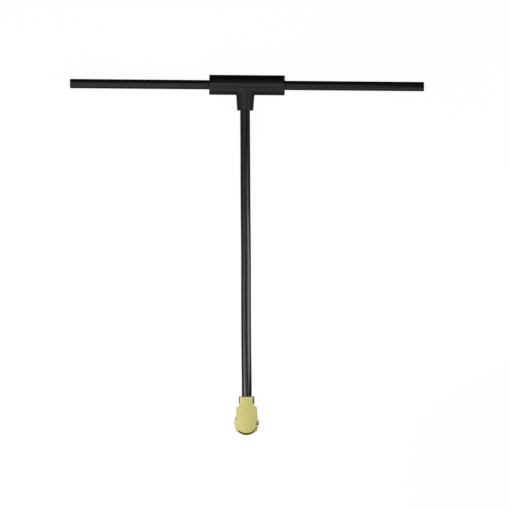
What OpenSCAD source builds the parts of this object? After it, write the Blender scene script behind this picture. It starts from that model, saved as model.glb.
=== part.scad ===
// Dipole antenna in the shape of a T, fed by a short micro coax with a push-on plug.
// The arms run along X and the cable along -Y. The origin is the middle of the tee's barrel.
// It lies on a surface at z = -tee_d / 2: the barrel and the plug's mouth both touch it.

/* [Tee housing] */
// Length of the moulded barrel that carries both arms
tee_len = 8.85; // [7:0.05:12]
// Diameter of the barrel
tee_d = 2.35; // [2.3:0.05:3]
// Rounding of the barrel's end edges
tee_edge_r = 0.08; // [0.05:0.01:0.25]
// Length of the cable neck, from the barrel's surface to its end
neck_len = 1.78; // [1.6:0.02:3]
// Diameter of the neck where it leaves the barrel
neck_root_d = 2.12; // [1.9:0.02:2.2]
// Diameter of the neck at its end
neck_end_d = 1.88; // [1.5:0.02:1.9]
// Rounding of the neck's end edge
neck_edge_r = 0.1; // [0.04:0.01:0.15]
// How far the neck sits off the barrel's middle, to the left
neck_shift = 0.2; // [0:0.05:0.6]

/* [Arms] */
// Length of each arm outside the tee
arm_len = 16.3; // [10:0.1:30]
// Outer diameter of an arm's sleeve
sleeve_d = 1.1; // [0.9:0.02:1.4]
// Diameter of the radiator wire inside a sleeve
wire_d = 0.5; // [0.4:0.02:0.7]
// How far a wire's tip lies inside its sleeve
tip_recess = 0.4; // [0.1:0.05:1]
// Depth of the seat in the tee's end face that locates a sleeve
sleeve_seat = 0.15; // [0.05:0.01:0.18]

/* [Cable] */
// Outer diameter of the jacket
jacket_d = 1.13; // [1.02:0.01:1.3]
// Diameter over the braid
braid_d = 0.92; // [0.8:0.01:0.96]
// Diameter over the dielectric
dielectric_d = 0.68; // [0.5:0.01:0.72]
// Diameter of the centre conductor
core_d = 0.24; // [0.16:0.01:0.3]
// Length of jacket held in the neck
jacket_grip = 1.4; // [0.8:0.05:1.5]
// Bare braid beyond the jacket, in the tee
braid_strip = 0.55; // [0.4:0.05:0.7]
// Bare dielectric beyond the braid, in the tee
dielectric_strip = 0.45; // [0.35:0.05:0.5]

/* [Solder joints] */
// Diameter of the bead that joins the core to the right wire
core_bead_d = 0.76; // [0.68:0.02:0.8]
// Diameter of the joint that runs from the braid to the left wire
braid_bead_d = 0.6; // [0.5:0.02:0.64]

/* [Plug] */
// Thickness of the stamped sheet
sheet_t = 0.16; // [0.12:0.01:0.18]
// Inner radius of the barrel that goes over a socket's ring
barrel_r = 1.08; // [1.04:0.01:1.12]
// Height of the barrel above its mouth
barrel_h = 1.58; // [1.45:0.01:1.6]
// Outer radius of the flared lip at the mouth
lip_r = 1.42; // [1.34:0.01:1.5]
// Height over which the lip flares
lip_h = 0.2; // [0.18:0.01:0.28]
// Width over the lip's square front corners
corner_w = 2.48; // [2.4:0.01:2.6]
// Height of the catch ridge above the mouth
ridge_z = 0.5; // [0.44:0.01:0.56]
// How far the catch ridge stands into the barrel
ridge_in = 0.08; // [0.04:0.01:0.1]
// Width of the barrel's opening towards the cable
throat_w = 1.5; // [1.2:0.05:1.6]
// Width of the spring slits in the barrel
slit_w = 0.2; // [0.16:0.02:0.28]
// Radius of the cover plate's round front
cover_r = 1.17; // [1.14:0.01:1.19]
// Width of the cover plate over its ears
cover_w = 2.47; // [2.4:0.01:2.6]
// Distance from the barrel's axis to the plate's shoulder
shoulder_y = 1.78; // [1.74:0.02:1.9]
// Width of the plate's tail
tail_w = 1.5; // [1.3:0.02:1.54]
// Overall width of the jacket crimp
crimp_w = 1.8; // [1.6:0.02:2]
// Width of the jacket crimp's flat top
crimp_top_w = 1.5; // [1.4:0.02:1.56]
// Length of the jacket crimp
crimp_len = 0.88; // [0.7:0.02:1.2]
// Length of the braid crimp
braid_crimp_len = 0.4; // [0.3:0.02:0.44]
// Width of the seam under each crimp
seam_w = 0.2; // [0.1:0.02:0.4]
// Width of the strip that hinges the cover to the barrel
hinge_w = 0.8; // [0.6:0.05:1.25]
// Depth of the ring-shaped groove that takes a socket's ring
groove_h = 0.75; // [0.7:0.01:0.78]
// Radius of the insulator's centre boss
boss_r = 0.62; // [0.56:0.01:0.7]
// Inner radius of the centre contact
contact_r = 0.25; // [0.22:0.01:0.27]
// Wall of the centre contact
contact_t = 0.15; // [0.14:0.01:0.17]
// Clearance between pieces that are put together, not moulded on
fit_gap = 0.02; // [0.01:0.01:0.03]

/* [Hidden] */
$fn = 64;

over = 0.5;                // how far a cutting tool runs past what it cuts
cable_sides = 8;           // flat sides of each layer of the cable

tee_r = tee_d / 2;
floor_z = -tee_r;
neck_x = -neck_shift;
neck_end_y = -(tee_r + neck_len);

// Ends of the cable's layers inside the tee
jacket_end_y = neck_end_y + jacket_grip;
braid_end_y = jacket_end_y + braid_strip;
dielectric_end_y = braid_end_y + dielectric_strip;
core_end_y = 0;

// Where the wires end beside the core
left_wire_end = neck_x - core_bead_d / 2 - 0.04;
right_wire_end = neck_x + core_bead_d / 2 - 0.08;

// The plug's heights above its mouth and its lengths from the barrel's axis
cable_h = 1.1;             // the cable's axis
cover_h = cable_h + jacket_d / 2;
bend_r = 0.03;             // inner radius of the folds
crimp_top_r = 0.14;        // outer radius of the jacket crimp's top edges
crimp_low_r = 0.5;         // outer radius where it closes under the jacket
tail_y = shoulder_y + (cover_w - tail_w) / 2 * 0.8;
crimp_y = tail_y + 0.06;
plug_len = crimp_y + crimp_len;
ear_y = 0.85;              // start of the ears that fold down round the insulator
ear_len = shoulder_y - ear_y - 0.08;
ear_h = 0.55;              // underside of the ears' clinched edges
braid_crimp_y = tail_y - braid_crimp_len;
slit_y = -0.38;            // how far the slits sit in front of the barrel's axis
corner_y = -1;             // front of the lip's square corners

// Ends of the cable's layers inside the plug
squeeze_y = plug_len - 0.15;
jacket_front = crimp_y - 0.02;
braid_front = braid_crimp_y - 0.02;
dielectric_front = shoulder_y - 0.46;
core_front = 0.5;

// The plug's barrel axis
plug_x = 0.29;
plug_y = -39.58;

// The cable's route where it lies free, chosen by hand: x, y and height of its axis over the surface
laid_route = [
    [-0.18, -4.6, 1.13],
    [-0.13, -7.9, 1.04],
    [-0.09, -11.2, 0.91],
    [-0.04, -14.5, 0.76],
    [0.02, -17.8, 0.63],
    [0.07, -21.1, 0.57],
    [0.10, -24.4, 0.60],
    [0.14, -27.7, 0.70],
    [0.19, -31.0, 0.85],
    [0.26, -34.3, 1.01],
];
route = concat(
    [for (y = [core_end_y, dielectric_end_y, braid_end_y, jacket_end_y, neck_end_y]) [neck_x, y, 0]],
    [for (p = laid_route) [p.x, p.y, floor_z + p.z]],
    [for (y = [plug_len, squeeze_y, jacket_front, braid_front, dielectric_front, core_front])
        [plug_x, plug_y + y, floor_z + cable_h]]
);

// A ring of points round p, across the cable, of half width rx and half height rz
function ring(p, rx, rz) = [
    for (k = [0 : cable_sides - 1])
        let (a = 360 * k / cable_sides) [p.x + rx * cos(a), p.y, p.z + rz * sin(a)]
];

// Faces of the wall from ring a to ring b, facing out from the axis or, turned, in to it
function wall_faces(a, b, turned) = [
    for (k = [0 : cable_sides - 1])
        let (
            n = (k + 1) % cable_sides,
            face = [a * cable_sides + k, a * cable_sides + n, b * cable_sides + n, b * cable_sides + k]
        )
        turned ? [face[3], face[2], face[1], face[0]] : face
];

function reversed(list) = [for (i = [len(list) - 1 : -1 : 0]) list[i]];

// One layer of the cable: a tube along the route, or a rod where inner_d is 0.
// The layer skips as many points at each end as it is stripped back.
// Over its last two points, in the plug, a crimp may squeeze it to another width.
module cable_layer(outer_d, inner_d, skipped, squeezed_w) {
    line = [for (i = [skipped : len(route) - 1 - skipped]) route[i]];
    n = len(line);
    outer_rings = [for (i = [0 : n - 1]) each ring(line[i], (i < n - 2 ? outer_d : squeezed_w) / 2, outer_d / 2)];
    outer_walls = [for (i = [0 : n - 2]) each wall_faces(i, i + 1, false)];
    if (inner_d > 0) {
        inner_rings = [for (p = line) each ring(p, inner_d / 2, inner_d / 2)];
        inner_walls = [for (i = [0 : n - 2]) each wall_faces(n + i, n + i + 1, true)];
        ends = concat(wall_faces(0, n, true), wall_faces(n - 1, 2 * n - 1, false));
        polyhedron(concat(outer_rings, inner_rings), concat(outer_walls, inner_walls, ends));
    } else {
        first = [for (k = [0 : cable_sides - 1]) k];
        last = [for (k = [0 : cable_sides - 1]) (n - 1) * cable_sides + k];
        polyhedron(outer_rings, concat(outer_walls, [reversed(first), last]));
    }
}

// A cylinder along X from x0 to x1
module rod_x(d, x0, x1) {
    translate([x0, 0, 0]) rotate([0, 90, 0]) cylinder(d = d, h = x1 - x0);
}

// A bar with the cable's section along Y at the neck, from y0 down to y1
module rod_neck(d, y0, y1) {
    translate([neck_x, y0, 0]) rotate([90, 0, 0]) cylinder(d = d, h = y0 - y1, $fn = cable_sides);
}

// Half section of a round bar whose outer edges are rounded at the chosen ends
module rounded_half(r, h, edge_r) {
    square([r - edge_r, h]);
    translate([0, edge_r]) square([r, h - 2 * edge_r]);
    for (z = [edge_r, h - edge_r])
        translate([r - edge_r, z]) circle(edge_r);
}

// Half section of the neck: a taper whose end edge is rounded
module neck_half() {
    slope = (neck_root_d - neck_end_d) / 2 / neck_len;
    end_r = neck_end_d / 2;
    polygon([
        [0, 0],
        [end_r - neck_edge_r, 0],
        for (a = [-75 : 15 : 0]) [end_r - neck_edge_r + neck_edge_r * cos(a), neck_edge_r + neck_edge_r * sin(a)],
        [neck_root_d / 2 + slope * tee_r / 2, neck_len + tee_r / 2],
        [0, neck_len + tee_r / 2],
    ]);
}

module tee_outside() {
    translate([-tee_len / 2, 0, 0]) rotate([0, 90, 0])
        rotate_extrude() rounded_half(tee_r, tee_len, tee_edge_r);
    translate([neck_x, neck_end_y, 0]) rotate([-90, 0, 0])
        rotate_extrude() neck_half();
}

module tee_housing() {
    color("#272b2c") difference() {
        tee_outside();
        rod_x(wire_d, -tee_len / 2 - over, left_wire_end);
        rod_x(wire_d, right_wire_end, tee_len / 2 + over);
        for (side = [-1, 1])
            translate([side * (tee_len / 2 - sleeve_seat + over), 0, 0]) rotate([0, 90, 0])
                cylinder(d = sleeve_d, h = 2 * over, center = true);
        rod_neck(jacket_d, jacket_end_y, neck_end_y - over);
        rod_neck(braid_d, braid_end_y, jacket_end_y - over);
        rod_neck(dielectric_d, dielectric_end_y, braid_end_y - over);
        rod_neck(core_d, core_end_y, dielectric_end_y - over);
        core_bead();
        braid_bead();
    }
}

// An arm's sleeve: a tube that butts into its seat in the tee
module arm_sleeve(side) {
    start = tee_len / 2 - sleeve_seat;
    color("#232526") rotate([0, 0, side < 0 ? 180 : 0]) difference() {
        rod_x(sleeve_d, start, tee_len / 2 + arm_len);
        rod_x(wire_d, start - over, tee_len / 2 + arm_len + over);
    }
}

module left_radiator() {
    color("#b87333") rod_x(wire_d, -(tee_len / 2 + arm_len - tip_recess), left_wire_end);
}

module right_radiator() {
    color("#b87333") rod_x(wire_d, right_wire_end, tee_len / 2 + arm_len - tip_recess);
}

// The bead round the core's end and the right wire's end
module core_bead() {
    translate([neck_x + core_bead_d / 4, 0, 0]) sphere(d = core_bead_d);
}

// The joint that runs from the braid's flank up to the left wire
module braid_bead() {
    r = braid_bead_d / 2;
    chamfer = r / 3;
    h = -jacket_end_y + r / 2;
    translate([neck_x - dielectric_d / 2 - r - 0.01, jacket_end_y, 0]) rotate([-90, 0, 0]) rotate_extrude()
        polygon([[0, 0], [r - chamfer, 0], [r, chamfer], [r, h - chamfer], [r - chamfer, h], [0, h]]);
}

module core_solder_joint() {
    color("#b9bcc0") difference() {
        core_bead();
        rod_x(wire_d, right_wire_end, right_wire_end + core_bead_d);
        rod_neck(core_d, core_end_y, -core_bead_d);
    }
}

module braid_solder_joint() {
    color("#b9bcc0") difference() {
        braid_bead();
        rod_x(wire_d, left_wire_end - core_bead_d * 2, left_wire_end);
        rod_neck(braid_d, braid_end_y, jacket_end_y - over);
    }
}

module cable_jacket() {
    color("#232728") cable_layer(jacket_d, braid_d, 3, crimp_w - 2 * sheet_t);
}

module cable_braid() {
    color("#b9bcc0") cable_layer(braid_d, dielectric_d, 2, braid_d);
}

module cable_dielectric() {
    color("#f0eee8") cable_layer(dielectric_d, core_d, 1, dielectric_d);
}

module cable_core() {
    color("#c9c4b8") cable_layer(core_d, 0, 0, core_d);
}

module at_plug() {
    translate([plug_x, plug_y, floor_z]) children();
}

// Half section of the barrel: flared lip, catch ridge and straight wall, all of one sheet
module barrel_half() {
    out_r = barrel_r + sheet_t;
    ridge_h = 0.12;
    polygon([
        [lip_r - sheet_t * 0.75, 0],
        [lip_r, 0],
        [lip_r, 0.06],
        [out_r, lip_h],
        [out_r, ridge_z - ridge_h],
        [out_r - ridge_in, ridge_z],
        [out_r, ridge_z + ridge_h],
        [out_r, barrel_h],
        [barrel_r, barrel_h],
        [barrel_r, ridge_z + ridge_h],
        [barrel_r - ridge_in, ridge_z],
        [barrel_r, ridge_z - ridge_h],
        [barrel_r, lip_h],
    ]);
}

module barrel() {
    difference() {
        rotate_extrude() barrel_half();
        translate([-throat_w / 2, 0, -over]) cube([throat_w, lip_r + over, barrel_h + 2 * over]);
        for (side = [-1, 1])
            translate([side > 0 ? 0 : -lip_r - over, slit_y - slit_w / 2, -over])
                cube([lip_r + over, slit_w, over + groove_h]);
    }
}

// The flat square corners of the lip, in front of the slits
module lip_corners() {
    start_x = barrel_r * 0.75;
    difference() {
        for (side = [-1, 1])
            translate([side > 0 ? start_x : -corner_w / 2, corner_y, 0])
                cube([corner_w / 2 - start_x, slit_y - slit_w / 2 - 0.06 - corner_y, sheet_t]);
        translate([0, 0, -0.01]) cylinder(r1 = lip_r - sheet_t * 0.75, r2 = barrel_r, h = lip_h + 0.01);
    }
}

// Outline of the cover plate and its tail
module cover_outline() {
    half = cover_w / 2;
    circle(cover_r);
    translate([-cover_r, 0]) square([2 * cover_r, ear_y + 0.1]);
    polygon([
        [-half, ear_y],
        [half, ear_y],
        [half, shoulder_y],
        [tail_w / 2, tail_y],
        [tail_w / 2, crimp_y],
        [-tail_w / 2, crimp_y],
        [-tail_w / 2, tail_y],
        [-half, shoulder_y],
    ]);
    translate([crimp_top_r - crimp_top_w / 2, crimp_y]) square([crimp_top_w - 2 * crimp_top_r, 0.1]);
}

// A quarter turn of sheet, from straight up on the left to level on the right
module fold() {
    r = bend_r + sheet_t;
    intersection() {
        difference() {
            circle(r);
            circle(bend_r);
        }
        translate([-r, 0]) square(r);
    }
}

// The strip that rises from the barrel's front and folds back into the cover plate
module hinge() {
    front = barrel_r + sheet_t;
    rotate([90, 0, 90]) translate([0, 0, -hinge_w / 2]) linear_extrude(hinge_w) {
        translate([-front, barrel_h - 0.3]) square([sheet_t, cover_h - bend_r - barrel_h + 0.3]);
        translate([bend_r + sheet_t - front, cover_h - bend_r]) fold();
        translate([bend_r + sheet_t - front, cover_h]) square([0.3, sheet_t]);
    }
}

// An ear that folds down beside the insulator and clinches under it
module ear() {
    half = cover_w / 2;
    foot = 0.24;
    rotate([90, 0, 0]) translate([0, 0, -ear_y - ear_len]) linear_extrude(ear_len) {
        translate([bend_r + sheet_t - half, cover_h - bend_r]) fold();
        translate([-half, ear_h]) square([sheet_t, cover_h - bend_r - ear_h]);
        translate([-half, ear_h]) square([sheet_t + foot, sheet_t]);
    }
}

// The cover plate without the edges that fold down as ears
module cover_plate() {
    half = cover_w / 2;
    difference() {
        translate([0, 0, cover_h]) linear_extrude(sheet_t) cover_outline();
        for (side = [-1, 1])
            translate([side > 0 ? half - bend_r - sheet_t : -half - over, ear_y, cover_h - over])
                cube([bend_r + sheet_t + over, ear_len, sheet_t + 2 * over]);
    }
}

// Points of a quarter turn or less round a corner's centre
function corner(x, z, r, from, to) = [
    for (i = [0 : 4]) let (a = from + (to - from) * i / 4) [x + r * cos(a), z + r * sin(a)]
];

// The crimp's outline: a flat top, flanks that lean out to its full width, and a round underside
module loop_outline(w, top_w, low, high, top_r, low_r) {
    lean = atan((w - top_w) / 2 / (high - cable_h));
    right = concat(
        corner(w / 2 - low_r, low + low_r, low_r, -90, 0),
        [[w / 2, cable_h]],
        corner(top_w / 2 - top_r, high - top_r, top_r, lean, 90)
    );
    polygon(concat(right, [for (i = [len(right) - 1 : -1 : 0]) [-right[i].x, right[i].y]]));
}

// The crimp that grips the jacket: a loop of sheet with a seam underneath
module jacket_crimp() {
    low = cable_h - jacket_d / 2 - sheet_t;
    inner_w = crimp_w - 2 * sheet_t;
    inner_top_w = crimp_top_w - 1.4 * sheet_t;
    rotate([90, 0, 0]) translate([0, 0, -plug_len]) linear_extrude(crimp_len) difference() {
        loop_outline(crimp_w, crimp_top_w, low, cover_h + sheet_t, crimp_top_r, crimp_low_r);
        loop_outline(inner_w, inner_top_w, low + sheet_t, cover_h, crimp_top_r / 2, crimp_low_r - sheet_t);
        translate([-seam_w / 2, low - over]) square([seam_w, over + 2 * sheet_t]);
    }
}

// The smaller crimp that grips the braid, under the plate's shoulder
module braid_crimp() {
    translate([0, braid_crimp_y + braid_crimp_len, cable_h]) rotate([90, 0, 0])
        linear_extrude(braid_crimp_len) difference() {
            circle(d = braid_d + 2 * sheet_t);
            circle(d = braid_d, $fn = cable_sides);
            translate([-seam_w / 2, -braid_d]) square([seam_w, braid_d]);
        }
}

module plug_ground_shell() {
    color("#cbc27c") at_plug() {
        barrel();
        lip_corners();
        hinge();
        cover_plate();
        ear();
        mirror([1, 0, 0]) ear();
        braid_crimp();
        jacket_crimp();
    }
}

// The strip and socket that carry the signal
module contact_shape(grow) {
    socket_r = contact_r + contact_t;
    strip_w = 2 * socket_r - 0.2;
    top = cable_h - core_d / 2;
    translate([0, 0, 0.3 - grow]) cylinder(r = socket_r + grow, h = top - 0.3 + grow);
    translate([-strip_w / 2 - grow, 0, top - contact_t - grow])
        cube([strip_w + 2 * grow, dielectric_front - 0.06, contact_t + grow]);
}

module plug_centre_contact() {
    top = cable_h - core_d / 2;
    color("#d2b45a") at_plug() difference() {
        contact_shape(0);
        translate([0, 0, -over]) cylinder(r = contact_r, h = over + top - contact_t);
        translate([-0.05, -over, 0]) cube([0.1, 2 * over, top - contact_t]);
    }
}

module plug_insulator() {
    out_r = barrel_r - fit_gap;
    top = cover_h - fit_gap;
    block_y = barrel_r + sheet_t + fit_gap;
    block_w = cover_w - 2 * (sheet_t + fit_gap);
    block_low = ear_h + sheet_t + fit_gap;
    color("#2b2b2a") at_plug() difference() {
        union() {
            translate([0, 0, groove_h]) cylinder(r = out_r, h = top - groove_h);
            translate([0, 0, 0.2]) cylinder(r = boss_r, h = groove_h);
            translate([-throat_w / 2 + fit_gap, 0, groove_h])
                cube([throat_w - 2 * fit_gap, block_y + 0.1, top - groove_h]);
            translate([-block_w / 2, block_y, block_low])
                cube([block_w, braid_front - fit_gap - block_y, top - block_low]);
        }
        contact_shape(fit_gap);
        translate([0, 0, -over]) cylinder(r = contact_r + contact_t + fit_gap, h = over + 0.4);
        translate([0, dielectric_front, cable_h]) rotate([-90, 0, 0])
            cylinder(d = dielectric_d + 2 * fit_gap, h = over + 0.4);
        translate([0, core_front - 0.05, cable_h]) rotate([-90, 0, 0])
            cylinder(d = core_d + 2 * fit_gap, h = dielectric_front);
    }
}

tee_housing();
arm_sleeve(-1);  // left_arm_sleeve
arm_sleeve(1);  // right_arm_sleeve
left_radiator();
right_radiator();
braid_solder_joint();
core_solder_joint();
cable_jacket();
cable_braid();
cable_dielectric();
cable_core();
plug_ground_shell();
plug_insulator();
plug_centre_contact();
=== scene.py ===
import functools
import math

import bpy
import numpy as np
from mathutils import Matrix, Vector


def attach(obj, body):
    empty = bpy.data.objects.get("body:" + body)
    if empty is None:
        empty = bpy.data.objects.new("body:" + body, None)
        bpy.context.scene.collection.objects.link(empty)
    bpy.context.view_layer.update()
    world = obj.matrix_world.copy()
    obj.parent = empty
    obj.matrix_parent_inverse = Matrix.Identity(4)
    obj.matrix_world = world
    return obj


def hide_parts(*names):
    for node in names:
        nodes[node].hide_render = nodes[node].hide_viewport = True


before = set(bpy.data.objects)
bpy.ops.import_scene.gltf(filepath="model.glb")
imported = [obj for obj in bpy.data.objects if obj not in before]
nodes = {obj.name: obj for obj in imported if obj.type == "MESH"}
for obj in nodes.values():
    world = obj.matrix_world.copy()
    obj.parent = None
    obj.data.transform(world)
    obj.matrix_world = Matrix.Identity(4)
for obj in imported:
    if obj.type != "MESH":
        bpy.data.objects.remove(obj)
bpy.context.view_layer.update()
scene = bpy.context.scene
scene.view_settings.view_transform = 'Standard'

# Everything below is in the row frame. Sizes are in millimetres, as in the CAD, and meshes are scaled to
# metres.
MM = 0.001

# Tee: the barrel lies along x on the floor, and the neck points to -y
TEE_R, TEE_LEN, TEE_EDGE = 1.175, 8.85, 0.07
FLOOR = -TEE_R
NECK_X, NECK_LEN = -0.2, 1.8
NECK_END = -(TEE_R + NECK_LEN)
NECK_R, NECK_GROWS, NECK_SHIFT, NECK_EDGE = 0.95, 0.12, 0.015, 0.05
SLEEVE_HOLE, CABLE_HOLE, HOLE_EDGE, FIT = 0.14, 0.3, 0.03, 0.012

# Arms
SLEEVE_R, WIRE_R, ARM_LEN = 0.55, 0.25, 16.3
SLEEVE_DEPTH, SLEEVE_EDGE = 0.15, 0.035
WIRE_SHORT, WIRE_EDGE = 0.4, 0.03
WIRE_STARTS = {"left": 0.62, "right": 0.10}
ARM_RINGS = 60

# Cable
JACKET_R, JACKET_SWELL, BRAID_R = 0.565, 0.014, 0.46
CABLE_H = 1.1
CRIMP_PLAY, FLATTENED = 0.005, 0.004

# Plug: sizes in its own frame, which has the mouth at z = 0 and the cable towards +y. PLUG is its place,
# names with Y are places along it, and EAR and BRAID_CRIMP run from one place to another.
PLUG = (0.29, -39.58)
PLUG_LEN = 3.108
SHEET, BEND, EDGE = 0.16, 0.03, 0.03
HALF = SHEET / 2
BARREL_R, BARREL_H, LIP_R, LIP_H = 1.08, 1.58, 1.42, 0.2
THROAT_W = 1.5
SLIT_Y, SLIT_W, HINGE_W = -0.38, 0.13, 0.8
CORNER_W, CORNER_Y = 2.48, -1.0
COVER_H = CABLE_H + JACKET_R
COVER_TOP = COVER_H + SHEET
COVER_W, COVER_R, TAIL_W, CROWNING = 2.47, 1.17, 1.5, 0.014
SHOULDER_Y, TAIL_Y = 1.78, 2.168
CRIMP_W, CRIMP_TOP_W, CRIMP_Y = 1.8, 1.5, 2.228
CRIMP_SEAM = 0.2
BRAID_CRIMP = (1.768, 2.168)
EAR = (0.85, 1.70)
GROOVE_H = 0.75
BOSS_R, BOSS_H, SOCKET_R, SOCKET_H = 0.62, 0.2, 0.42, 0.98
CONTACT_R, CONTACT_WALL, CONTACT_H, STRIP_LEN = 0.4, 0.15, 0.3, 1.26


# Camera: straight down, with the little roll that the photograph shows

PIXEL = 0.1171
PHOTO_PIXELS = 510
ROLL = math.radians(0.5)
MIDDLE = (0.937, -19.895)
DISTANCE = 0.6
SENSOR = 36

centre_x = MIDDLE[0] * math.cos(ROLL) - MIDDLE[1] * math.sin(ROLL)
centre_y = MIDDLE[0] * math.sin(ROLL) + MIDDLE[1] * math.cos(ROLL)
camera_data = bpy.data.cameras.new("camera")
camera_data.sensor_width = SENSOR
camera_data.lens = SENSOR * DISTANCE / (PHOTO_PIXELS * PIXEL * MM)
camera_data.clip_start = 0.005
camera_data.clip_end = 20
camera = bpy.data.objects.new("camera", camera_data)
camera.location = (centre_x * MM, centre_y * MM, DISTANCE)
camera.rotation_euler = (0, 0, ROLL)
scene.collection.objects.link(camera)
scene.camera = camera


# Mesh makers

def add_piece(name, points, faces):
    """A smooth mesh piece from points in millimetres, riding on the one body."""
    mesh = bpy.data.meshes.new(name)
    mesh.from_pydata((np.asarray(points) * MM).tolist(), [], faces)
    mesh.update()
    mesh.shade_smooth()
    piece = bpy.data.objects.new(name, mesh)
    scene.collection.objects.link(piece)
    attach(piece, "root")
    return piece


def other_axes(axis):
    return [k for k in range(3) if k != axis]


def edge_crossings(field, axis):
    """The grid edges along an axis: which the surface crosses, how far along, and which start inside."""
    near, far = [slice(None)] * 3, [slice(None)] * 3
    near[axis], far[axis] = slice(0, -1), slice(1, None)
    start, end = field[tuple(near)], field[tuple(far)]
    crossed = (start < 0) != (end < 0)
    along = np.where(crossed, start / np.where(crossed, start - end, 1), 0)
    return crossed, along, start < 0


def cell_points(cells, crossings):
    """The mean crossing of each grid cell that has any, in grid steps, and each cell's point number."""
    count = np.zeros(cells)
    total = np.zeros((3, *cells))
    for axis, (crossed, along, _) in enumerate(crossings):
        b, c = other_axes(axis)
        for side_b in (0, 1):
            for side_c in (0, 1):
                part = [slice(None)] * 3
                part[b], part[c] = slice(side_b, cells[b] + side_b), slice(side_c, cells[c] + side_c)
                here = crossed[tuple(part)]
                count += here
                total[axis] += along[tuple(part)] * here
                total[b] += here * side_b
                total[c] += here * side_c
    found = np.argwhere(count > 0)
    where = tuple(found.T)
    number = np.full(cells, -1)
    number[where] = np.arange(len(found))
    return found + (total[(slice(None), *where)] / count[where]).T, number


def edge_quads(axis, crossed, from_inside, number):
    """A quad round each crossed edge, from the points of the four cells that share it, facing outward."""
    b, c = other_axes(axis)
    at = np.argwhere(crossed)
    at = at[(at[:, b] > 0) & (at[:, c] > 0) & (at[:, b] < number.shape[b]) & (at[:, c] < number.shape[c])]
    corners = []
    for side_b, side_c in ((1, 1), (0, 1), (0, 0), (1, 0)):
        cell = at.copy()
        cell[:, b] -= side_b
        cell[:, c] -= side_c
        corners.append(number[tuple(cell.T)])
    quads = np.stack(corners, 1)
    flip = from_inside[tuple(at.T)] == (axis == 1)
    quads[flip] = quads[flip][:, ::-1]
    return quads


def pull_onto(distance, points, step):
    """Move points onto the surface in four Newton steps, none of them longer than 0.4 of a grid step."""
    h = step * 0.05
    for _ in range(4):
        x, y, z = points.T
        d = distance(x, y, z)
        slope = np.stack([
            distance(x + h, y, z) - distance(x - h, y, z),
            distance(x, y + h, z) - distance(x, y - h, z),
            distance(x, y, z + h) - distance(x, y, z - h),
        ], 1) / (2 * h)
        move = -(d / np.maximum((slope ** 2).sum(1), 0.25))[:, None] * slope
        size = np.linalg.norm(move, axis=1, keepdims=True)
        points = points + move * np.minimum(1, 0.4 * step / np.maximum(size, 1e-12))
    return points


def net(distance, low, high, step):
    """Points and quads of the surface where distance(x, y, z) is zero, from a grid of the given step."""
    axes = [np.arange(a - 2 * step, b + 3 * step, step) for a, b in zip(low, high)]
    grid = np.meshgrid(*axes, indexing="ij", sparse=True)
    field = np.ascontiguousarray(np.broadcast_to(distance(*grid), [len(a) for a in axes]))
    crossings = [edge_crossings(field, axis) for axis in range(3)]
    points, number = cell_points(np.array(field.shape) - 1, crossings)
    points = np.array([a[0] for a in axes]) + points * step
    faces = [
        edge_quads(axis, crossed, from_inside, number)
        for axis, (crossed, _, from_inside) in enumerate(crossings)
    ]
    return pull_onto(distance, points, step), np.concatenate(faces).tolist()


def lathe(profile, sides, place):
    """Points and faces of a closed ring profile of (radius, height) turned round an axis.

    place maps points (u, v, w), whose w is the height, to the row frame.
    """
    profile = np.array(profile)
    turn = np.arange(sides) * 2 * math.pi / sides
    r, w = profile[:, 0], profile[:, 1]
    u = np.outer(np.cos(turn), r)
    v = np.outer(np.sin(turn), r)
    w = np.broadcast_to(w, u.shape)
    points = place(u.ravel(), v.ravel(), w.ravel())
    m = len(profile)
    faces = [
        [i * m + j, ((i + 1) % sides) * m + j, ((i + 1) % sides) * m + (j + 1) % m, i * m + (j + 1) % m]
        for i in range(sides) for j in range(m)
    ]
    return points, faces


def sweep(path, half_w, half_h, sides):
    """Points and faces of a closed rod along a path, with its half width and half height at each point."""
    path = np.array(path)
    forward = np.gradient(path, axis=0)
    forward /= np.linalg.norm(forward, axis=1, keepdims=True)
    across = np.cross(forward, (0, 0, 1))
    across /= np.linalg.norm(across, axis=1, keepdims=True)
    up = np.cross(across, forward)
    turn = np.arange(sides) * 2 * math.pi / sides
    rings = [
        p + np.outer(np.cos(turn) * w, a) + np.outer(np.sin(turn) * h, b)
        for p, a, b, w, h in zip(path, across, up, half_w, half_h)
    ]
    n = len(path)
    faces = [
        [i * sides + k, i * sides + (k + 1) % sides, (i + 1) * sides + (k + 1) % sides, (i + 1) * sides + k]
        for i in range(n - 1) for k in range(sides)
    ]
    faces.append(list(range(sides))[::-1])
    faces.append([(n - 1) * sides + k for k in range(sides)])
    return np.concatenate(rings), faces


def curve_through(points, spacing):
    """Points about a spacing apart on a smooth line through the given ones."""
    p = np.array(points, float)
    p = np.vstack([2 * p[0] - p[1], p, 2 * p[-1] - p[-2]])
    line = []
    for before, start, end, after in zip(p, p[1:], p[2:], p[3:]):
        length = np.linalg.norm(end - start)
        leave = (end - before) / (np.linalg.norm(start - before) + length) * length
        arrive = (after - start) / (np.linalg.norm(after - end) + length) * length
        count = max(2, int(round(length / spacing)))
        for k in range(count):
            t = k / count
            line.append(
                (2 * t ** 3 - 3 * t ** 2 + 1) * start + (t ** 3 - 2 * t ** 2 + t) * leave
                + (3 * t ** 2 - 2 * t ** 3) * end + (t ** 3 - t ** 2) * arrive
            )
    line.append(p[-2])
    return np.array(line)


# Distances that net() uses, in millimetres. They are negative inside a shape.

def soft_min(a, b, k):
    """The union of two shapes, with the corner between them filled over about k."""
    h = np.maximum(k - np.abs(a - b), 0) / k
    return np.minimum(a, b) - h * h * k / 4


def soft_max(a, b, k):
    """What two shapes share, with its edges rounded over about k."""
    return -soft_min(-a, -b, k)


def round_corner(a, b, r):
    """What two shapes at right angles share, with its edge rounded to a radius."""
    a, b = a + r, b + r
    return np.hypot(np.maximum(a, 0), np.maximum(b, 0)) + np.minimum(np.maximum(a, b), 0) - r


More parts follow.
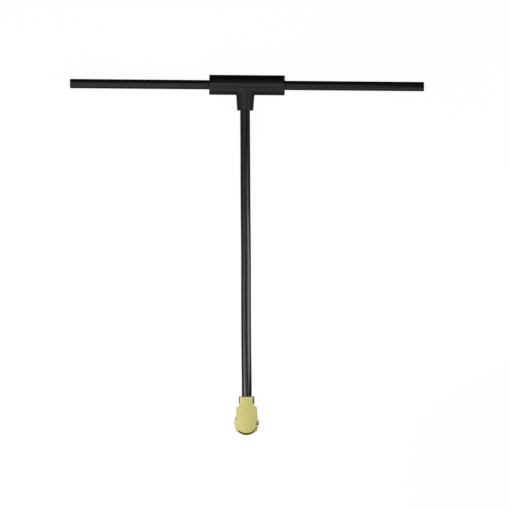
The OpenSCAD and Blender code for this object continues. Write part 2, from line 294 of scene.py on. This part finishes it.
def strip(u, v, width, start, end, r):
    """A rectangle centred on u = 0 that runs along v from start to end, with rounded corners."""
    return round_corner(np.abs(u) - width / 2, np.abs(v - (start + end) / 2) - (end - start) / 2, r)


def bar(d, t, low, high, k):
    """A 2D shape d drawn out along t from low to high, with edges rounded by about k."""
    return soft_max(soft_max(d, low - t, k), t - high, k)


def segment_2d(u, v, start, end):
    """Distance from the straight line between two points."""
    du, dv = end[0] - start[0], end[1] - start[1]
    t = np.clip(((u - start[0]) * du + (v - start[1]) * dv) / (du * du + dv * dv), 0, 1)
    return np.hypot(u - start[0] - t * du, v - start[1] - t * dv)


def line_2d(u, v, points):
    """Distance from a line through the points."""
    return functools.reduce(np.minimum, (segment_2d(u, v, a, b) for a, b in zip(points, points[1:])))


def polygon_2d(u, v, points):
    """Signed distance from a polygon's edge."""
    closed = [*points, points[0]]
    inside = False
    for (au, av), (bu, bv) in zip(closed, closed[1:]):
        if av != bv:
            inside = inside ^ (((av > v) != (bv > v)) & (u < (bu - au) * (v - av) / (bv - av) + au))
    edge = line_2d(u, v, closed)
    return np.where(inside, -edge, edge)


def arc_points(cu, cv, r, start, end, count=9):
    """Points on an arc round (cu, cv), from one angle to another in degrees."""
    return [
        (cu + r * math.cos(math.radians(a)), cv + r * math.sin(math.radians(a)))
        for a in np.linspace(start, end, count)
    ]


# Tee: one moulding, round barrel and tapered neck

def tee_distance(x, y, z):
    barrel = round_corner(np.hypot(y, z) - TEE_R, np.abs(x) - TEE_LEN / 2, TEE_EDGE)
    neck_r = NECK_R + NECK_GROWS * (y - NECK_END) / NECK_LEN
    neck = round_corner(
        np.hypot(x - NECK_X - NECK_SHIFT, z) - neck_r, np.maximum(NECK_END - y, y), NECK_EDGE
    )
    body = soft_min(barrel, neck, TEE_EDGE)
    sleeve_holes = np.maximum(np.hypot(y, z) - SLEEVE_R - FIT, TEE_LEN / 2 - SLEEVE_HOLE - np.abs(x))
    cable_hole = np.maximum(np.hypot(x - NECK_X, z) - JACKET_R - FIT, y - NECK_END - CABLE_HOLE)
    return soft_max(soft_max(body, -sleeve_holes, HOLE_EDGE), -cable_hole, HOLE_EDGE)


def make_tee():
    step = 0.045
    points, faces = net(tee_distance, (-TEE_LEN / 2, NECK_END, -TEE_R), (TEE_LEN / 2, TEE_R, TEE_R), step)
    piece = add_piece("tee_moulding", points, faces)
    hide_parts("tee_housing")
    return piece


# Arms: a sleeve and the wire inside it

def ring_profile(inner, outer, low, high, edge):
    """A closed ring profile of (radius, height), with a rounded edge at each of its four corners."""
    profile = []
    for cu, cv, start in (
        (outer - edge, high - edge, 90), (outer - edge, low + edge, 0),
        (inner + edge, low + edge, -90), (inner + edge, high - edge, -180),
    ):
        profile += arc_points(cu, cv, edge, start, start - 90, 5)
    return profile


def make_arm(side, name):
    low, high = TEE_LEN / 2 - SLEEVE_DEPTH, TEE_LEN / 2 + ARM_LEN
    profile = ring_profile(WIRE_R, SLEEVE_R, low, high, SLEEVE_EDGE)
    rings = []
    for (r0, w0), (r1, w1) in zip(profile, profile[1:] + profile[:1]):
        # The long sides are cut up, so that no face runs the whole length
        count = ARM_RINGS if abs(w1 - w0) > 1 else 1
        rings += [(r0 + (r1 - r0) * k / count, w0 + (w1 - w0) * k / count) for k in range(count)]

    def place(u, v, w):
        return np.stack([side * w, side * u, v], 1)

    points, faces = lathe(rings, sides=72, place=place)
    piece = add_piece(name + "_sleeve", points, faces)
    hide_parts(name + "_arm_sleeve")
    return piece


def make_wire(side, name):
    start, tip = WIRE_STARTS[name], TEE_LEN / 2 + ARM_LEN - WIRE_SHORT
    along = [start, start + WIRE_EDGE, *np.linspace(start, tip, ARM_RINGS)[1:-1], tip - WIRE_EDGE, tip]
    size = np.full(len(along), WIRE_R)
    size[[0, -1]] -= WIRE_EDGE
    points, faces = sweep([(side * t, 0, 0) for t in along], size, size, sides=48)
    piece = add_piece(name + "_wire", points, faces)
    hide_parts(name + "_radiator")
    return piece


# Cable: the route is the one of part.scad. LAID gives x, y and the height above the floor, in the open. The
# other two are y along the tee's neck, and y along the plug in its own frame.

TEE_RUN = (-1.555, -2.2, NECK_END)
LAID = [
    (-0.18, -4.6, 1.13), (-0.13, -7.9, 1.04), (-0.09, -11.2, 0.91), (-0.04, -14.5, 0.76),
    (0.02, -17.8, 0.63), (0.07, -21.1, 0.57), (0.10, -24.4, 0.60), (0.14, -27.7, 0.70),
    (0.19, -31.0, 0.85), (0.26, -34.3, 1.01),
]
PLUG_RUN = (PLUG_LEN + 0.02, 2.7, 2.208)
BRAID_RUN = (2.4, 1.75)
FADE, SQUEEZE_FADE = 0.4, 0.22


def fade(distance, length):
    """0 where a distance is below 0, 1 where it is over a length, and straight between."""
    return np.clip(distance / length, 0, 1)


def make_cable():
    axis = FLOOR + CABLE_H
    route = [(NECK_X, y, 0) for y in TEE_RUN]
    route += [(x, y, FLOOR + h) for x, y, h in LAID]
    route += [(PLUG[0], PLUG[1] + y, axis) for y in PLUG_RUN]
    line = curve_through(route, spacing=0.16)
    y = line[:, 1]
    # A little over its nominal size in the open, and squeezed flat in the crimp
    in_open = fade(NECK_END - y, FADE) * fade(y - PLUG[1] - PLUG_LEN, FADE)
    squeeze = fade(PLUG[1] + PLUG_RUN[0] - y, SQUEEZE_FADE)
    squeeze = squeeze * squeeze * (3 - 2 * squeeze)
    half_w = JACKET_R + JACKET_SWELL * in_open + (CRIMP_W / 2 - SHEET - CRIMP_PLAY - JACKET_R) * squeeze
    half_h = JACKET_R - FLATTENED * squeeze
    points, faces = sweep(line, half_w, half_h, sides=72)
    jacket = add_piece("coax_jacket", points, faces)
    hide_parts("cable_jacket")
    free = [tuple(p * MM) for p in line if PLUG[1] + PLUG_LEN <= p[1] <= NECK_END]
    braid_line = [(PLUG[0], PLUG[1] + y, axis) for y in np.linspace(*BRAID_RUN, 14)]
    braid_size = np.full(len(braid_line), BRAID_R)
    points, faces = sweep(braid_line, braid_size, braid_size, sides=64)
    braid = add_piece("coax_braid_end", points, faces)
    return jacket, braid, free


# Plug: the stamped shell, one function for each part of the sheet

def barrel_distance(x, y, z):
    """The slit barrel with its flared lip and its ridge, and the lip's square corners in front."""
    around = np.hypot(x, y)
    mid = BARREL_R + HALF
    ridge = mid - 0.06
    wall = line_2d(around, z, [
        (LIP_R + 0.04, -0.12), (LIP_R - 0.07, 0.02), (mid + 0.035, LIP_H - 0.07), (mid, LIP_H), (mid, 0.4),
        (ridge, 0.47), (ridge, 0.53), (mid, 0.6), (mid, BARREL_H + 0.1),
    ]) - HALF
    barrel = soft_max(soft_max(wall, -z, 0.05), z - BARREL_H, EDGE)
    throat = np.maximum(np.abs(x) - THROAT_W / 2, -y)
    barrel = soft_max(barrel, -throat, EDGE)
    slit = soft_max(np.abs(y - SLIT_Y) - SLIT_W / 2, z - GROOVE_H, 0.06)
    barrel = soft_max(barrel, -slit, EDGE)

    back = SLIT_Y - SLIT_W / 2 - 0.06
    corners = bar(strip(x, y, CORNER_W, CORNER_Y, back, 0.05), z, 0, SHEET, EDGE)
    # The mouth stays open inside the flare, whose slope is about 45 degrees
    flare = (around - BARREL_R - (LIP_R - 0.12 - BARREL_R) * (1 - z / LIP_H)) * 0.707
    corners = soft_max(corners, -flare, EDGE)
    return soft_min(barrel, corners, 0.04)


def hinge_distance(x, y, z):
    """The strip that joins the barrel's front to the cover."""
    middle, front, bend = COVER_H + HALF, BARREL_R + HALF, BEND + HALF
    fold = [
        (-front, BARREL_H - 0.3), *arc_points(bend - front, middle - bend, bend, 180, 90), (-0.6, middle),
    ]
    hinge = bar(line_2d(y, z, fold) - HALF, np.abs(x), -1, HINGE_W / 2, EDGE)
    return soft_max(hinge, BARREL_H - 0.28 - z, EDGE)


def cover_distance(x, y, z):
    """The flat cover: round in front, straight at the sides, and narrowed to its tail at the crimp."""
    outline = np.minimum(np.hypot(x, y) - COVER_R, strip(x, y, 2 * COVER_R, -0.1, EAR[0] + 0.1, 0.02))
    w, tail_w = COVER_W / 2, TAIL_W / 2
    shoulders = polygon_2d(x, y, [
        (-w, EAR[0]), (w, EAR[0]), (w, SHOULDER_Y), (tail_w, TAIL_Y), (tail_w, CRIMP_Y), (-tail_w, CRIMP_Y),
        (-tail_w, TAIL_Y), (-w, SHOULDER_Y),
    ])
    outline = soft_min(outline, shoulders, 0.06)
    ears = np.maximum(w - BEND - SHEET - np.abs(x), np.maximum(EAR[0] - y, y - EAR[1]))
    outline = soft_max(outline, -ears, 0.02)
    outline = np.minimum(outline, strip(x, y, CRIMP_TOP_W - 0.12, CRIMP_Y - 0.1, CRIMP_Y + 0.1, 0.01))
    return bar(outline, z, COVER_H, COVER_TOP, EDGE)


def ear_distance(x, y, z):
    """The ears: folded down from the cover to a small radius, and curled in under the block."""
    side, low = COVER_W / 2 - HALF, COVER_TOP - 1
    outside = strip(x, z, COVER_W, low, COVER_TOP, 0.03)
    inside = strip(x, z, COVER_W - 2 * SHEET, low + SHEET, COVER_H, BEND)
    curl_r, curl_z = 0.1, 0.73
    curl = [(side, 1.4), *arc_points(side - curl_r, curl_z, curl_r, 0, -90), (side - 0.4, curl_z - curl_r)]
    # The fold and the curl meet on the ear's straight side, at z = 1.3
    ear = np.where(z > 1.3, np.maximum(outside, -inside), line_2d(np.abs(x), z, curl) - HALF)
    # The curl's inner edge, which gives way above z = 1.2 to let the fold run on into the cover
    inner = COVER_W / 2 - SHEET - 0.24
    ear = soft_max(ear, inner - np.abs(x) - np.maximum(z - 1.2, 0) * 9, EDGE)
    return bar(ear, y, EAR[0], EAR[1], EDGE)


def open_below(x, z):
    """The seam under a crimp, where the two ends of the sheet meet."""
    return np.maximum(np.abs(x) - CRIMP_SEAM / 2, z - CABLE_H)


def braid_crimp_distance(x, y, z):
    """The round crimp on the braid."""
    ring = np.abs(np.hypot(x, z - CABLE_H) - BRAID_R - HALF) - HALF
    return bar(soft_max(ring, -open_below(x, z), EDGE), y, *BRAID_CRIMP, EDGE)


def jacket_crimp_distance(x, y, z):
    """The crimp on the jacket: flat on top, with leaning flanks and a round bottom."""
    low, high, side = CABLE_H - JACKET_R - HALF, COVER_H + HALF, CRIMP_W / 2 - HALF
    top = CRIMP_TOP_W / 2 - HALF * 0.7
    low_r, top_r, lean = 0.42, 0.06, 21
    loop = [
        (0, low), *arc_points(side - low_r, low + low_r, low_r, -90, 0), (side, CABLE_H),
        *arc_points(top - top_r, high - top_r, top_r, lean, 90, 5), (0, high), (-0.5, high), (-0.5, low),
    ]
    sink = np.maximum(z - CABLE_H, 0) / (high - CABLE_H) * CROWNING * x ** 2
    loop = np.abs(polygon_2d(np.abs(x), z + sink, loop)) - HALF
    return bar(soft_max(loop, -open_below(x, z), EDGE), y, CRIMP_Y, PLUG_LEN, EDGE)


def shell_distance(x, y, z):
    # The sheet over the block is crowned a little across its width
    crowned_z = z + CROWNING * x ** 2
    parts = [
        soft_min(barrel_distance(x, y, z), hinge_distance(x, y, crowned_z), 0.05),
        cover_distance(x, y, crowned_z), ear_distance(x, y, crowned_z),
        braid_crimp_distance(x, y, z), jacket_crimp_distance(x, y, z),
    ]
    return functools.reduce(np.minimum, parts)


# Plug: what the shell holds

def block_distance(x, y, z):
    """The insulator: a disc over the barrel's top, a boss in its middle and a block towards the cable."""
    top = COVER_H - 0.02
    around = np.hypot(x, y)
    disc = bar(around - BARREL_R + 0.02, z, GROOVE_H, top, EDGE)
    boss = bar(around - BOSS_R, z, BOSS_H, GROOVE_H + 0.1, 0.06)
    neck = bar(strip(x, y, 1.46, 0, 1.36, 0.01), z, GROOVE_H, top, EDGE)
    block = bar(strip(x, y, 2.11, 1.26, 1.728, 0.02), z, 0.73, top, EDGE)
    body = np.minimum(np.minimum(disc, neck), block)
    body = soft_min(body, boss, 0.04)
    socket = np.maximum(around - SOCKET_R, z - SOCKET_H)
    bore = np.maximum(np.hypot(x, z - CABLE_H) - 0.36, 1.32 - y)
    return soft_max(soft_max(body, -socket, EDGE), -bore, EDGE)


def contact_distance(x, y, z):
    """The socket contact: a slit tube with a lid that runs on as the strip under the cable's core."""
    around = np.hypot(x, y)
    wall = CONTACT_WALL / 2
    tube = bar(np.abs(around - CONTACT_R + wall) - wall, z, CONTACT_H, 0.9, 0.03)
    tube = soft_max(tube, 0.05 - np.abs(x), 0.02)
    flat = np.minimum(around - CONTACT_R, strip(x, y, 0.6, 0, STRIP_LEN, 0.02))
    return np.minimum(tube, bar(flat, z, 0.83, SOCKET_H, 0.02))


def make_plug():
    def placed(points):
        return points + np.array([PLUG[0], PLUG[1], FLOOR])

    step = 0.022
    points, faces = net(shell_distance, (-1.4, -1.4, 0), (1.4, PLUG_LEN, COVER_TOP), step)
    shell = add_piece("plug_stamped_shell", placed(points), faces)
    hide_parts("plug_ground_shell")
    points, faces = net(block_distance, (-1.06, -1.06, 0.2), (1.06, 1.73, COVER_H), step * 1.4)
    block = add_piece("plug_moulded_block", placed(points), faces)
    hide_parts("plug_insulator")
    low, high = (-CONTACT_R, -CONTACT_R, CONTACT_H), (CONTACT_R, STRIP_LEN, SOCKET_H)
    points, faces = net(contact_distance, low, high, 0.02)
    contact = add_piece("plug_contact_tube", placed(points), faces)
    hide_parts("plug_centre_contact")
    return shell, block, contact


# Materials

def new_material(name):
    material = bpy.data.materials.new(name)
    material.use_nodes = True
    tree = material.node_tree
    return material, tree, tree.nodes["Principled BSDF"]


def object_space(tree, scale=(1, 1, 1), turn=0):
    """Places in the row frame, turned round z by an angle in degrees and scaled."""
    where = tree.nodes.new("ShaderNodeTexCoord")
    mapping = tree.nodes.new("ShaderNodeMapping")
    mapping.inputs["Rotation"].default_value = (0, 0, math.radians(turn))
    mapping.inputs["Scale"].default_value = scale
    tree.links.new(where.outputs["Object"], mapping.inputs["Vector"])
    return mapping.outputs["Vector"]


def noise(tree, scale, detail=3, stretch=(1, 1, 1), turn=0):
    """Noise in the row frame. scale is features per millimetre."""
    texture = tree.nodes.new("ShaderNodeTexNoise")
    texture.inputs["Scale"].default_value = 1
    texture.inputs["Detail"].default_value = detail
    where = object_space(tree, [scale / MM * s for s in stretch], turn)
    tree.links.new(where, texture.inputs["Vector"])
    return texture.outputs["Fac"]


def ramp(tree, source, stops):
    """A colour ramp from stops of (place, value), where a value is a grey or a colour."""
    node = tree.nodes.new("ShaderNodeValToRGB")
    elements = node.color_ramp.elements
    while len(elements) > 1:
        elements.remove(elements[-1])
    for i, (at, value) in enumerate(stops):
        element = elements[0] if i == 0 else elements.new(at)
        element.position = at
        element.color = (*value, 1) if hasattr(value, "__len__") else (value, value, value, 1)
    tree.links.new(source, node.inputs["Fac"])
    return node.outputs["Color"]


def bump(tree, shader, layers):
    """Bump layers of (height, depth in millimetres)."""
    last = None
    for height, depth in layers:
        node = tree.nodes.new("ShaderNodeBump")
        node.inputs["Strength"].default_value = 1
        node.inputs["Distance"].default_value = depth * MM
        tree.links.new(height, node.inputs["Height"])
        if last:
            tree.links.new(last, node.inputs["Normal"])
        last = node.outputs["Normal"]
    tree.links.new(last, shader.inputs["Normal"])


def math_node(tree, operation, *values):
    """A math node, whose values are numbers or sockets."""
    node = tree.nodes.new("ShaderNodeMath")
    node.operation = operation
    for socket, value in zip(node.inputs, values):
        if isinstance(value, (int, float)):
            socket.default_value = value
        else:
            tree.links.new(value, socket)
    return node.outputs[0]


def moulded(name, dark, light, rough, specular, grain, depth):
    """Moulded plastic with a fine and a coarse grain."""
    material, tree, shader = new_material(name)
    colour = ramp(tree, noise(tree, 0.8, 4), [(0.3, dark), (0.7, light)])
    roughness = ramp(tree, noise(tree, 2.5, 5), [(0.3, rough - 0.05), (0.7, rough + 0.05)])
    tree.links.new(colour, shader.inputs["Base Color"])
    tree.links.new(roughness, shader.inputs["Roughness"])
    shader.inputs["Specular IOR Level"].default_value = specular
    bump(tree, shader, [(noise(tree, grain, 3), depth), (noise(tree, grain / 7, 2), depth * 1.5)])
    return material


def drawn(name, dark, light, rough, specular, axis):
    """Extruded plastic: long faint flow lines along an axis."""
    material, tree, shader = new_material(name)
    flow = [0.04 if k == axis else 1 for k in range(3)]
    waves = [0.3 if k == axis else 1 for k in range(3)]
    colour = ramp(tree, noise(tree, 1.2, 4, flow), [(0.3, dark), (0.7, light)])
    roughness = ramp(tree, noise(tree, 3, 4, flow), [(0.3, rough - 0.04), (0.7, rough + 0.06)])
    tree.links.new(colour, shader.inputs["Base Color"])
    tree.links.new(roughness, shader.inputs["Roughness"])
    shader.inputs["Specular IOR Level"].default_value = specular
    bump(tree, shader, [(noise(tree, 5, 3, flow), 0.003), (noise(tree, 0.6, 2, waves), 0.004)])
    return material


def scratches(tree, scale, turn, width):
    """Thin straight lines at an angle, where a stretched noise crosses its middle value."""
    lines = noise(tree, scale, 2, (1, 0.06, 0.4), turn)
    return ramp(tree, lines, [(0.5 - width, 0.0), (0.5, 1.0), (0.5 + width, 0.0)])


def metal(name, dark, light, rough, grain, depth, stretch=(1, 1, 1), worn=False):
    """Metal with a fine grain and, where it is worn, patches of thin scratches."""
    material, tree, shader = new_material(name)
    shader.inputs["Metallic"].default_value = 1
    colour = ramp(tree, noise(tree, 1.1, 4), [(0.3, dark), (0.7, light)])
    roughness = ramp(tree, noise(tree, 2, 4, stretch), [(0.3, rough - 0.05), (0.7, rough + 0.07)])
    layers = [(noise(tree, grain, 3, stretch), depth)]
    if worn:
        sets = [scratches(tree, 2.6, 18, 0.012), scratches(tree, 1.9, -37, 0.010)]
        patchy = ramp(tree, noise(tree, 1.7, 2), [(0.48, 0.0), (0.62, 0.5)])
        lines = math_node(tree, 'MULTIPLY', math_node(tree, 'MAXIMUM', *sets), patchy)
        duller = tree.nodes.new("ShaderNodeMix")
        duller.data_type = 'RGBA'
        # The mix node's colour sockets are 6, 7 and, going out, 2
        tree.links.new(lines, duller.inputs[0])
        tree.links.new(colour, duller.inputs[6])
        duller.inputs[7].default_value = (*[c * 0.8 for c in dark], 1)
        colour = duller.outputs[2]
        layers.append((math_node(tree, 'SUBTRACT', 1.0, lines), 0.002))
    tree.links.new(colour, shader.inputs["Base Color"])
    tree.links.new(roughness, shader.inputs["Roughness"])
    bump(tree, shader, layers)
    return material


def braided(name):
    """Crossing bundles of fine tinned wires, from two sets of slanted waves."""
    material, tree, shader = new_material(name)
    shader.inputs["Metallic"].default_value = 1
    heights = []
    for lean in (35, -35):
        wave = tree.nodes.new("ShaderNodeTexWave")
        wave.inputs["Scale"].default_value = 4500
        wave.inputs["Distortion"].default_value = 0.6
        tree.links.new(object_space(tree, turn=lean), wave.inputs["Vector"])
        heights.append(wave.outputs["Fac"])
    height = math_node(tree, 'MAXIMUM', *heights)
    # Painted shade: the colour is darker where the waves are low, in the gaps between the wires.
    colour = ramp(tree, height, [(0.1, (0.24, 0.24, 0.23)), (0.8, (0.66, 0.66, 0.64))])
    roughness = ramp(tree, noise(tree, 4), [(0.3, 0.28), (0.7, 0.4)])
    tree.links.new(colour, shader.inputs["Base Color"])
    tree.links.new(roughness, shader.inputs["Roughness"])
    bump(tree, shader, [(height, 0.02)])
    return material


def glowing(name, dark, light):
    """A card that shines with a plain grey of its own."""
    material, tree, shader = new_material(name)
    shader.inputs["Base Color"].default_value = (0.2, 0.2, 0.2, 1)
    shader.inputs["Emission Strength"].default_value = 1
    colour = ramp(tree, noise(tree, 0.05), [(0.3, dark), (0.7, light)])
    tree.links.new(colour, shader.inputs["Emission Color"])
    return material


# A dark and a light colour come first, then the roughness, and for plastic its specular level. Moulded
# plastic and metal go on with the grains per millimetre, their depth in millimetres and any stretch. Drawn
# plastic ends with the axis along which it was drawn.
tee_plastic = moulded("tee_plastic", (0.002, 0.003, 0.003), (0.0034, 0.0044, 0.0044), 0.34, 0.5, 14, 0.003)
sleeve_plastic = drawn("sleeve_plastic", (0.0020, 0.0020, 0.0023), (0.0036, 0.0034, 0.0038), 0.32, 0.5, 0)
jacket_plastic = drawn("jacket_plastic", (0.0018, 0.0028, 0.0030), (0.0030, 0.0040, 0.0042), 0.20, 0.5, 1)
block_plastic = moulded("block_plastic", (0.014, 0.014, 0.014), (0.022, 0.022, 0.021), 0.5, 0.5, 20, 0.003)
white_plastic = moulded("white_plastic", (0.72, 0.70, 0.64), (0.80, 0.78, 0.72), 0.3, 0.5, 12, 0.002)
gold_plate = metal(
    "gold_plate", (0.77, 0.66, 0.26), (0.83, 0.72, 0.285), 0.40, 9, 0.0015, (1, 0.15, 1), worn=True
)
copper = metal("copper", (0.66, 0.33, 0.18), (0.78, 0.42, 0.25), 0.3, 8, 0.003, (0.05, 1, 1))
solder = metal("solder", (0.50, 0.50, 0.50), (0.66, 0.66, 0.67), 0.28, 3, 0.01)
silvered = metal("silvered", (0.70, 0.69, 0.64), (0.80, 0.78, 0.74), 0.25, 8, 0.003)
tinned_braid = braided("tinned_braid")
card_black = moulded("card_black", (0.004, 0.004, 0.004), (0.007, 0.007, 0.007), 0.9, 0.1, 1, 0.05)
card_grey = glowing("card_grey", (0.24, 0.28, 0.27), (0.27, 0.31, 0.30))


def paint(piece, material):
    piece.data.materials.clear()
    piece.data.materials.append(material)


# Build the pieces

paint(make_tee(), tee_plastic)
for make, material in ((make_arm, sleeve_plastic), (make_wire, copper)):
    for side, name in ((-1, "left"), (1, "right")):
        paint(make(side, name), material)
jacket, braid_end, free_path = make_cable()
paint(jacket, jacket_plastic)
paint(braid_end, tinned_braid)
shell, block, contact = make_plug()
paint(shell, gold_plate)
paint(block, block_plastic)
paint(contact, gold_plate)
for name, material in (
    ("braid_solder_joint", solder), ("core_solder_joint", solder), ("cable_braid", tinned_braid),
    ("cable_dielectric", white_plastic), ("cable_core", silvered),
):
    paint(nodes[name], material)


# Floor and world. Both are white to the camera.

def shader_node(tree, kind, colour=None, strength=None):
    """A shader of a kind, with a colour that is a grey or a socket."""
    node = tree.nodes.new("ShaderNode" + kind)
    if isinstance(colour, float):
        node.inputs["Color"].default_value = (colour, colour, colour, 1)
    elif colour is not None:
        tree.links.new(colour, node.inputs["Color"])
    if strength is not None:
        node.inputs["Strength"].default_value = strength
    return node.outputs[0]


def mix_shader(tree, factor, a, b):
    node = tree.nodes.new("ShaderNodeMixShader")
    for socket, value in zip(node.inputs, (factor, a, b)):
        tree.links.new(value, socket)
    return node.outputs[0]


def split_place(tree, output):
    """The x, y and z of a texture place or direction."""
    where = tree.nodes.new("ShaderNodeTexCoord")
    split = tree.nodes.new("ShaderNodeSeparateXYZ")
    tree.links.new(where.outputs[output], split.inputs[0])
    return split.outputs


def finish_shader(tree, kind, unseen, seen):
    """Send one shader to the camera, straight or through something clear, and another to all other rays."""
    path = tree.nodes.new("ShaderNodeLightPath").outputs
    camera_ray = math_node(tree, 'MAXIMUM', path["Is Camera Ray"], path["Is Transmission Ray"])
    out = tree.nodes.new("ShaderNodeOutput" + kind)
    tree.links.new(mix_shader(tree, camera_ray, unseen, seen), out.inputs["Surface"])


def floor_material():
    material, tree, _ = new_material("floor")
    tree.nodes.clear()
    white = tree.nodes.new("ShaderNodeAddShader")
    tree.links.new(shader_node(tree, "BsdfDiffuse", 0.09), white.inputs[0])
    tree.links.new(shader_node(tree, "Emission", strength=0.95), white.inputs[1])

    # In the photograph the rims are dark, so reflections see this white at a small share of its strength:
    # least in front of the plug and behind the tee, and most in front of the tee. The ramp runs along y.
    reach = 100

    def at(y):
        return 0.5 + y / reach

    along = math_node(tree, 'MULTIPLY_ADD', split_place(tree, "Object")["Y"], 1 / (reach * MM), at(0))
    # Painted shade: this share dims the floor as reflections see it, most in front of the plug and behind
    # the tee, least in front of the tee.
    share = ramp(tree, along, [
        (at(-41.6), 0.09), (at(-40.6), 0.20), (at(-12), 0.22), (at(-8), 0.36), (at(0), 0.36), (at(2), 0.05),
    ])
    path = tree.nodes.new("ShaderNodeLightPath")
    unseen = mix_shader(
        tree, path.outputs["Is Glossy Ray"], shader_node(tree, "BsdfDiffuse", 0.72),
        shader_node(tree, "BsdfDiffuse", share),
    )
    finish_shader(tree, "Material", unseen, white.outputs[0])
    return material


def make_floor():
    reach = 2.0
    z = FLOOR * MM
    corners = [(-reach, -reach, z), (reach, -reach, z), (reach, reach, z), (-reach, reach, z)]
    mesh = bpy.data.meshes.new("floor")
    mesh.from_pydata(corners, [], [[0, 1, 2, 3]])
    mesh.materials.append(floor_material())
    floor = bpy.data.objects.new("floor", mesh)
    scene.collection.objects.link(floor)


def make_world():
    """A studio whose grey follows the lean from straight up, in degrees: below zero to the front."""
    world = bpy.data.worlds.new("studio")
    scene.world = world
    world.use_nodes = True
    tree = world.node_tree
    tree.nodes.clear()

    def at(degrees):
        return 0.5 + degrees / 360

    place = split_place(tree, "Generated")
    lean = math_node(tree, 'ARCTAN2', place["Y"], place["Z"])
    lean = math_node(tree, 'MULTIPLY_ADD', lean, 1 / (2 * math.pi), at(0))
    colour = ramp(tree, lean, [
        (at(-110), (0.48, 0.52, 0.52)),
        (at(-90), (0.66, 0.76, 0.76)),
        (at(-70), (0.60, 0.70, 0.69)),
        (at(-40), (0.31, 0.375, 0.365)),
        (at(-15), (0.31, 0.37, 0.36)),
        (at(0), (0.27, 0.32, 0.31)),
        (at(12), (0.32, 0.37, 0.36)),
        (at(28), (0.20, 0.22, 0.22)),
        (at(50), (0.10, 0.11, 0.11)),
        (at(75), (0.03, 0.03, 0.03)),
        (at(90), (0.005, 0.005, 0.005)),
    ])
    studio = shader_node(tree, "Background", colour, strength=1.0)
    white = shader_node(tree, "Background", 1.0, strength=1.0)
    finish_shader(tree, "World", studio, white)


# Lamps and cards. Places and sizes are in millimetres, and the camera sees none of them.

def softbox(name, place, aim, size, level):
    """An area lamp whose face has the given brightness."""
    data = bpy.data.lights.new(name, 'AREA')
    data.shape = 'RECTANGLE'
    data.size, data.size_y = size[0] * MM, size[1] * MM
    data.energy = level * math.pi * data.size * data.size_y
    lamp = bpy.data.objects.new(name, data)
    lamp.location = Vector(place) * MM
    lamp.rotation_euler = (Vector(aim) - Vector(place)).to_track_quat('-Z', 'Y').to_euler()
    lamp.visible_camera = False
    scene.collection.objects.link(lamp)


def card(name, corners, material, only_reflected=False):
    """A flat card. One that is only reflected throws no shadow and doesn't dim the surfaces round it."""
    mesh = bpy.data.meshes.new(name)
    mesh.from_pydata((np.array(corners) * MM).tolist(), [], [[0, 1, 2, 3]])
    mesh.materials.append(material)
    piece = bpy.data.objects.new(name, mesh)
    scene.collection.objects.link(piece)
    piece.visible_camera = False
    piece.visible_diffuse = not only_reflected
    piece.visible_shadow = not only_reflected


def upright(start, end, height):
    """The corners of a card that stands on the floor."""
    low, high = FLOOR + 0.01, FLOOR + height
    return [(*start, low), (*end, low), (*end, high), (*start, high)]


make_floor()
make_world()
card("front_flag", upright((-9, -44.5), (9, -44.5), 6), card_black, only_reflected=True)
card("right_flag", upright((32, -62), (32, -32), 44), card_black)
card("far_right_flag", upright((36, -17), (36, 12), 40), card_grey)
card("far_left_flag", upright((-36, -23), (-36, 12), 42), card_grey)
card(
    "overhead_flag", [(14, -12, 45), (45, -12, 45), (45, 25, 45), (14, 25, 45)], card_black,
    only_reflected=True,
)
softbox("left_softbox", (-67, -34, 52), (0, -34, 0), (22, 62), 4.1)
softbox("right_softbox", (74, -25.5, 43), (0, -25.5, 0), (29, 84), 4.4)
softbox("plug_softbox", (-22, -47.5, 50), (-22, -47.5, 0), (38, 33), 1.1)
softbox("arm_softbox", (30, -62, 42), (20, 0, 0), (36, 16), 1.1)
softbox("cable_softbox", (0, -27, 110), (0, -27, 0), (60, 16), 0.35)
softbox("tee_softbox", (-16, 9, 110), (-16, 9, 0), (92, 18), 2.1)
